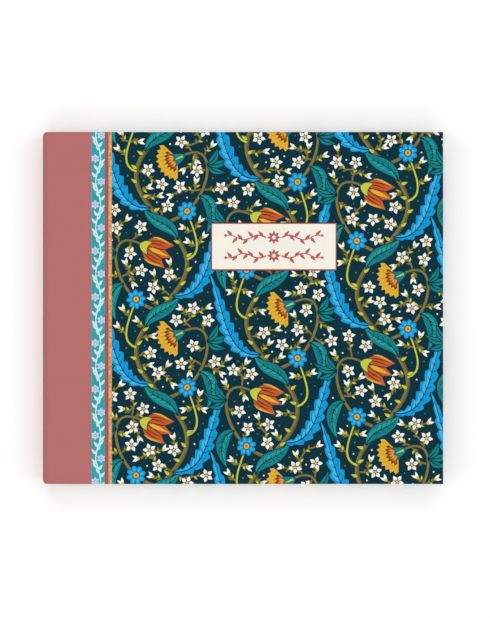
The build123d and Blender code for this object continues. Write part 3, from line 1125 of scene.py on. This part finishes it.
def makePageRules():
    # grey lines inside the margins, with strong ones between entries and a line beside a column
    group, into, out = newGroup("pageRules", "Entries", "Column", height=False)
    axes = axesOf(group, into["Vector"])
    x, y = axes["X"], axes["Y"]
    inRows = between(group, y, ruling["bottom"], ruling["top"])
    inField = times(group, between(group, x, ruling["left"], ruling["right"]), inRows)
    fine = times(group, rulesAt(group, y, ruling["pitch"], ruling["line"]), inField)
    strong = rulesAt(group, y, ruling["pitch"] * ruling["perEntry"], ruling["strongLine"])
    strong = times(group, strong, inField, into["Entries"])
    upright = bandMask(group, x, ruling["columnX"], ruling["line"] / 2)
    upright = times(group, upright, inRows, into["Column"])
    colour = into["Colour"]
    for lines, ink in ((fine, "grey"), (strong, "teal"), (upright, "rose")):
        colour = mixed(group, times(group, lines, ruling["cover"]), colour, srgb(*ruling[ink]))
    feed(group, out["Colour"], colour)
    return group


pageRules = makePageRules()


def pageMaterial(name, entries, column):
    # cream paper, ruled for addresses or for birthdays
    material, tree, shader = newMaterial(name, 0.85, specular=0.15)
    place = inMillimetres(tree, "page")
    fibre = fibreOn(tree, place, leafPaper["page"], scale=1.0, fleck=0.05)
    ruled = placeGroup(tree, pageRules, Vector=place, Colour=fibre["Colour"], Entries=entries, Column=column)
    coat(tree, shader, ruled["Colour"], fibre["Height"], depth=0.015)
    return material


def edgeMaterial():
    # cut edges of the leaves, each a little darker or paler than the next
    material, tree, shader = newMaterial("pageEdge", 0.9, specular=0.15)
    tone = addNode(tree, "Attribute", attribute_name="leafTone").outputs["Fac"]
    colour = mixed(tree, tone, srgb(*leafPaper["darkEdge"]), srgb(*leafPaper["paleEdge"]))
    fibre = fibreOn(tree, inMillimetres(tree), colour, scale=2.5, fleck=0.08)
    coat(tree, shader, fibre["Colour"], fibre["Height"], depth=0.02)
    return material


def cardMaterial(name, tint):
    # light card, ruled as the pages are, whose fore-edge strip is printed in one tint
    material, tree, shader = newMaterial(name, 0.7, specular=0.2)
    place = inMillimetres(tree, "page")
    x = axesOf(tree, place)["X"]
    fibre = fibreOn(tree, place, leafPaper["card"], scale=1.5, fleck=0.04)
    printed = fibreOn(tree, place, tint, scale=2.0, fleck=0.12)
    hair = bandMask(tree, x, tabX - leafPaper["hairInset"], leafPaper["hair"])
    tinted = sums(tree, "MAXIMUM", sums(tree, "GREATER_THAN", x, tabX), hair)
    ruled = placeGroup(tree, pageRules, Vector=place, Colour=fibre["Colour"], Entries=1.0, Column=0.0)
    coat(tree, shader, mixed(tree, tinted, ruled["Colour"], printed["Colour"]), fibre["Height"], depth=0.01)
    return material


def selectIn(piece, kind, test):
    # in edit mode: select the faces or corners that pass a test on their place in mm
    mesh = bmesh.from_edit_mesh(piece.data)
    bpy.ops.mesh.select_mode(type="FACE" if kind == "faces" else "VERT")
    bpy.ops.mesh.select_all(action="DESELECT")
    for item in getattr(mesh, kind):
        p = item.calc_center_median() if kind == "faces" else item.co
        item.select_set(test(p.x / mm, p.y / mm))
    mesh.select_flush_mode()
    bmesh.update_edit_mesh(piece.data)


def cutAcross(at, normal):
    bpy.ops.mesh.select_all(action="SELECT")
    bpy.ops.mesh.bisect(plane_co=inMetres(*at), plane_no=normal)


def bendOf(body):
    # from where to where along x a leaf of this body bends, in mm, and the point that it turns about
    places = {j["name"]: j["pos_m"] for j in frame["joints"]}
    pivot = places[f"turn_{body}"]
    if body == "back_free_leaf":
        start, length = 0.0, leafShape["lowestBend"]
    else:
        above = (pivot[2] - places["turn_section_birthdays"][2]) / mm
        start, length = leafShape["bendStart"], leafShape["bendLength"] + leafShape["bendGrowth"] * above
    return pivot[0] / mm + start, pivot[0] / mm + start + length, pivot


def cutTab(piece, rows):
    # takes away the fore-edge below a leaf's last tab, and rounds the step
    fore, near = leafShape["foreX"], leafShape["near"]
    stepY = leafShape["headY"] - rows * tabRow

    def onCorner(x, y):
        return abs(y - stepY) < near and (abs(x - fore) < near or abs(x - tabX) < near)

    cutAcross((tabX, 0, 0), (1, 0, 0))
    cutAcross((0, stepY, 0), (0, 1, 0))
    selectIn(piece, "faces", lambda x, y: x > tabX and y < stepY)
    bpy.ops.mesh.delete(type="FACE")
    selectIn(piece, "verts", onCorner)
    bpy.ops.mesh.bevel(offset=leafShape["tabRound"] * mm, segments=leafShape["roundSteps"], affect="VERTICES")


def makeLeaves(name, lowZ, leafThick, count, rows, bendFrom, bendTo):
    # a plate cut to one leaf's outline, thickened, and copied up into a stack
    left, fore, head = leafShape["gutterX"], leafShape["foreX"], leafShape["headY"]
    deselect()
    bpy.ops.mesh.primitive_plane_add(size=1, location=inMetres((left + fore) / 2, 0, lowZ))
    piece = newest(name, scale=((fore - left) * mm, 2 * head * mm, 1))
    editAll(piece)
    for k in range(leafShape["bendCuts"] + 1):
        cutAcross((bendFrom + (bendTo - bendFrom) * k / leafShape["bendCuts"], 0, 0), (1, 0, 0))
    if rows < len(letterPairs):
        cutTab(piece, rows)
    bpy.ops.mesh.select_mode(type="FACE")
    bpy.ops.mesh.select_all(action="SELECT")
    bpy.ops.mesh.extrude_region_move(TRANSFORM_OT_translate={"value": (0, 0, leafThick * mm)})
    bpy.ops.mesh.select_all(action="SELECT")
    bpy.ops.mesh.normals_make_consistent(inside=False)
    up = (leafThick + leafShape["pageGap"]) * mm
    for k in range(count - 1):
        step = rng.uniform(leafShape["leastShuffle"], 1.0) * leafShape["shuffle"] * mm
        aside = -step if k % 2 else step * leafShape["outShare"]
        bpy.ops.mesh.duplicate_move(TRANSFORM_OT_translate={"value": (aside, 0, up)})
    endEdit()
    return piece


def dressLeaves(piece, face, edge, count):
    # the page map follows the leaf when it bends; its sides wear the second material, in a tone for each leaf
    mesh = piece.data
    wear(piece, face, edge)
    while mesh.uv_layers:
        mesh.uv_layers.remove(mesh.uv_layers[0])
    co = np.empty(len(mesh.vertices) * 3, np.float32)
    mesh.vertices.foreach_get("co", co)
    index = np.empty(len(mesh.loops), np.int32)
    mesh.loops.foreach_get("vertex_index", index)
    setMap(piece, "page", co.reshape(-1, 3)[index, :2] / mm)
    perLeaf = len(mesh.polygons) // count
    tones = [rng.random() for k in range(count)]
    leafTone = mesh.attributes.new("leafTone", "FLOAT", "FACE")
    for k, polygon in enumerate(mesh.polygons):
        polygon.material_index = 0 if abs(polygon.normal.z) > 0.5 else 1
        leafTone.data[k].value = tones[k // perLeaf]


def leavesFor(node, name, body, face, edge, count=1, rows=len(letterPairs)):
    low, high = boxOf(node)
    thick = (high[2] - low[2] - leafShape["pageGap"] * (count - 1)) / count
    bendFrom, bendTo, (x, y, z) = bendOf(body)
    leaves = makeLeaves(name, low[2], thick, count, rows, bendFrom, bendTo)
    dressLeaves(leaves, face, edge, count)
    smooth(leaves)
    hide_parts(node, "leaf_gutters")
    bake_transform(leaves)


rng = random.Random(leafShape["seed"])
addressPage = pageMaterial("addressPage", entries=1.0, column=0.0)
birthdayPage = pageMaterial("birthdayPage", entries=0.0, column=1.0)
pageEdge = edgeMaterial()
cards = [cardMaterial(f"indexCard{k + 1}", tint) for k, tint in enumerate(tabTints)]
for row, pair in enumerate(letterPairs):
    body, title, card = f"section_{pair}", pair.title(), cards[row % len(cards)]
    leavesFor(f"pages_{pair}", f"pages{title}", body, addressPage, pageEdge,
              leafShape["perSection"], row + 1)
    leavesFor(f"index_leaf_{pair}", f"indexCard{title}", body, card, cardBare, rows=row + 1)
leavesFor("birthday_pages", "birthdayLeaves", "section_birthdays", birthdayPage, pageEdge,
          leafShape["birthdays"])
for side in ("front", "back"):
    leavesFor(f"{side}_flyleaf", f"{side}FlyLeaf", f"{side}_free_leaf", endPaper, pageEdge)
print("leaves made")

# Endpapers across the joints: from a pastedown's edge to the fold of its flyleaf
endStrip = {"thick": 0.12, "steps": 12, "smoothTo": 60}
for side in ("front", "back"):
    (boardX, _, lowZ), (_, tall, highZ) = boxOf(f"{side}_pastedown")
    flyLow, flyHigh = boxOf(f"{side}_flyleaf")
    start = Vector((boardX, 0, (lowZ + highZ) / 2))
    end = Vector((leafShape["gutterX"], 0, (flyLow[2] + flyHigh[2]) / 2))
    run = end - start
    deselect()
    bpy.ops.mesh.primitive_grid_add(size=1, x_subdivisions=endStrip["steps"], y_subdivisions=1,
                                    location=(start + end) / 2 * mm)
    strip = newest(f"{side}EndStrip", scale=(run.length * mm, 2 * tall * mm, 1),
                   turn=(0, -math.atan2(run.z, run.x), 0))
    wall = strip.modifiers.new("paper", "SOLIDIFY")
    wall.thickness = endStrip["thick"] * mm
    wall.offset = 0
    bpy.ops.object.modifier_apply(modifier="paper")
    wear(strip, endPaper)
    smooth(strip, endStrip["smoothTo"])
    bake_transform(strip)
print("endpapers joined")

# Plain index letters on the tabs
tabLetters = {"size": 3.9, "room": 5.4, "thick": 0.006, "lift": 0.004, "seam": 0.001, "curveSteps": 3}
letterPale = paperMaterial("letterPale", (250, 246, 236), fleck=0.04, scale=3.0, roughness=0.7)
for row, pair in enumerate(letterPairs):
    deselect()
    bpy.ops.object.text_add(location=(0, 0, 0))
    text = bpy.context.object.data
    text.body = pair.upper()
    text.size = tabLetters["size"] * mm
    text.align_x = text.align_y = "CENTER"
    text.extrude = tabLetters["thick"] * mm
    text.resolution_u = tabLetters["curveSteps"]
    bpy.ops.object.convert(target="MESH")
    editAll(bpy.context.object)
    bpy.ops.mesh.remove_doubles(threshold=tabLetters["seam"] * mm)
    endEdit()
    wide = 2 * max(v.co.x for v in bpy.context.object.data.vertices)
    fit = min(1.0, tabLetters["room"] * mm / wide)  # a wide pair is drawn in to fit its tab
    cardTop = boxOf(f"index_leaf_{pair}")[1][2]
    middle = ((tabX + leafShape["foreX"]) / 2, leafShape["headY"] - (row + 0.5) * tabRow,
              cardTop + tabLetters["lift"])
    letters = newest(f"tabLetters{pair.title()}", scale=(fit, 1, 1), place=inMetres(*middle))
    wear(letters, letterPale)
    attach(letters, f"section_{pair}")
print("index letters set")

# Head and tail bands: silk wound round a core, in stripes, on a tape
silkBand = {"wrapPitch": 0.35, "wrapThick": 0.2, "ringSteps": 16, "wrapSides": 6, "tapeRound": 0.06,
            "smoothTo": 50, "stripe": 2.8, "cream": (238, 230, 212), "rose": (180, 100, 98)}


def bandMaterial():
    material, tree, shader = newMaterial("bandSilk", 0.55, specular=0.3)
    place = inMillimetres(tree)
    along = sums(tree, "WRAP", axesOf(tree, place)["Z"], silkBand["stripe"])
    inStripe = sums(tree, "GREATER_THAN", along, silkBand["stripe"] / 2)
    colour = mixed(tree, inStripe, srgb(*silkBand["cream"]), srgb(*silkBand["rose"]))
    fibre = fibreOn(tree, place, colour, scale=6.0, fleck=0.2)
    coat(tree, shader, fibre["Colour"], fibre["Height"], depth=0.02)
    return material


bandSilk = bandMaterial()
for side in ("head", "tail"):
    low, high = boxOf(f"{side}_band")
    beadEnd, tapeEnd = (high[1], low[1]) if side == "head" else (low[1], high[1])
    leafEnd = leafShape["headY"] if side == "head" else -leafShape["headY"]
    wide, thick = high[0] - low[0], silkBand["wrapThick"]
    deselect()
    bpy.ops.mesh.primitive_torus_add(
        major_radius=(wide / 2 - thick) * mm, major_segments=silkBand["ringSteps"],
        minor_radius=thick * mm, minor_segments=silkBand["wrapSides"])
    middle = ((low[0] + high[0]) / 2, (leafEnd + beadEnd) / 2, low[2] + thick)
    band = newest(f"{side}Band", scale=(1, abs(beadEnd - leafEnd) / wide, 1), place=inMetres(*middle))
    length = high[2] - low[2] - 2 * thick
    wraps = int(length / silkBand["wrapPitch"])
    row = band.modifiers.new("wraps", "ARRAY")
    row.use_relative_offset = False
    row.use_constant_offset = True
    row.constant_offset_displace = (0, 0, length / wraps * mm)
    row.count = wraps + 1
    bpy.ops.object.modifier_apply(modifier="wraps")
    tapeDeep = boxOf("mull")[1][0] - low[0]
    middle = (low[0] + tapeDeep / 2, (tapeEnd + leafEnd) / 2, (low[2] + high[2]) / 2)
    bpy.ops.mesh.primitive_cube_add(size=1, location=inMetres(*middle))
    editAll(newest("tape", scale=inMetres(tapeDeep, abs(leafEnd - tapeEnd), high[2] - low[2])))
    bpy.ops.mesh.bevel(offset=silkBand["tapeRound"] * mm, segments=2)
    endEdit()
    band.select_set(True)
    bpy.context.view_layer.objects.active = band
    bpy.ops.object.join()
    wear(band, bandSilk)
    smooth(band, silkBand["smoothTo"])
    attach(band, "spine")
    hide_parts(f"{side}_band")
print("bands wound")

# Finishes of the nodes that stay as the frame has them
finishes = {
    "front_board": greyBoard, "back_board": greyBoard, "spine_board": greyBoard,
    "front_pastedown": endPaper, "back_pastedown": endPaper,
    "mull": gauze, "front_mull_flap": gauze, "back_mull_flap": gauze,
    "spine_lining": kraftPaper, "sewing_threads": linenThread,
}
for node, material in finishes.items():
    for slot in bpy.data.objects[node].material_slots:
        slot.material = material

# Stage: pale floor, four broad soft lamps round the book and a white room
stage = {"floorSize": 12.0, "floorDown": 0.02, "floorTone": 0.95, "floorGlow": 0.115, "roomLight": 0.3,
         "lampPower": 0.64, "lampWide": 35.0, "lampUp": 58.0}


def seenDirectly(tree):
    # 1 for rays that look at the background itself or at its reflection
    rays = addNode(tree, "LightPath").outputs
    seen = sums(tree, "MAXIMUM", rays["Is Camera Ray"], rays["Is Glossy Ray"])
    return sums(tree, "MAXIMUM", seen, rays["Is Transmission Ray"])


def emptyTree(owner):
    owner.use_nodes = True
    owner.node_tree.nodes.clear()
    return owner.node_tree


deselect()
bpy.ops.mesh.primitive_plane_add(size=stage["floorSize"], location=(0, 0, -stage["floorDown"] * mm))
floor = newest("floor")
floorPaint = bpy.data.materials.new("floorPaint")
tree = emptyTree(floorPaint)
matt = addNode(tree, "BsdfDiffuse", {"Color": (stage["floorTone"],) * 3 + (1.0,)})
glow = addNode(tree, "Emission", {"Strength": times(tree, seenDirectly(tree), stage["floorGlow"])})
both = addNode(tree, "AddShader", {0: matt.outputs[0], 1: glow.outputs[0]})
addNode(tree, "OutputMaterial", {"Surface": both.outputs[0]})
wear(floor, floorPaint)
floor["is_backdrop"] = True

world = bpy.data.worlds.new("room")
bpy.context.scene.world = world
tree = emptyTree(world)
strength = plus(tree, times(tree, seenDirectly(tree), 1 - stage["roomLight"]), stage["roomLight"])
room = addNode(tree, "Background", {"Color": (1.0, 1.0, 1.0, 1.0), "Strength": strength})
addNode(tree, "OutputWorld", {"Surface": room.outputs[0]})

for k, name in enumerate(("foreLamp", "headLamp", "spineLamp", "tailLamp")):
    a, up = quarterTurn * k, math.radians(stage["lampUp"])
    place = Vector((math.cos(a) * math.cos(up), math.sin(a) * math.cos(up), math.sin(up)))
    lamp = bpy.data.lights.new(name, "SUN")
    lamp.energy = stage["lampPower"]
    lamp.angle = math.radians(stage["lampWide"])
    holder = bpy.data.objects.new(name, lamp)
    holder.location = place
    holder.rotation_euler = (-place).to_track_quat("-Z", "Y").to_euler()
    bpy.context.scene.collection.objects.link(holder)

# Camera: straight above, as far as the photo's frame needs
view = {"lens": 180.0, "place": (0.91, -0.41, 1292.4)}
camera = bpy.data.objects.new("camera", bpy.data.cameras.new("camera"))
camera.data.lens = view["lens"]
camera.location = inMetres(*view["place"])
bpy.context.scene.collection.objects.link(camera)
bpy.context.scene.camera = camera
bpy.context.scene.view_settings.view_transform = "Standard"
print("stage set")

low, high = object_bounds()
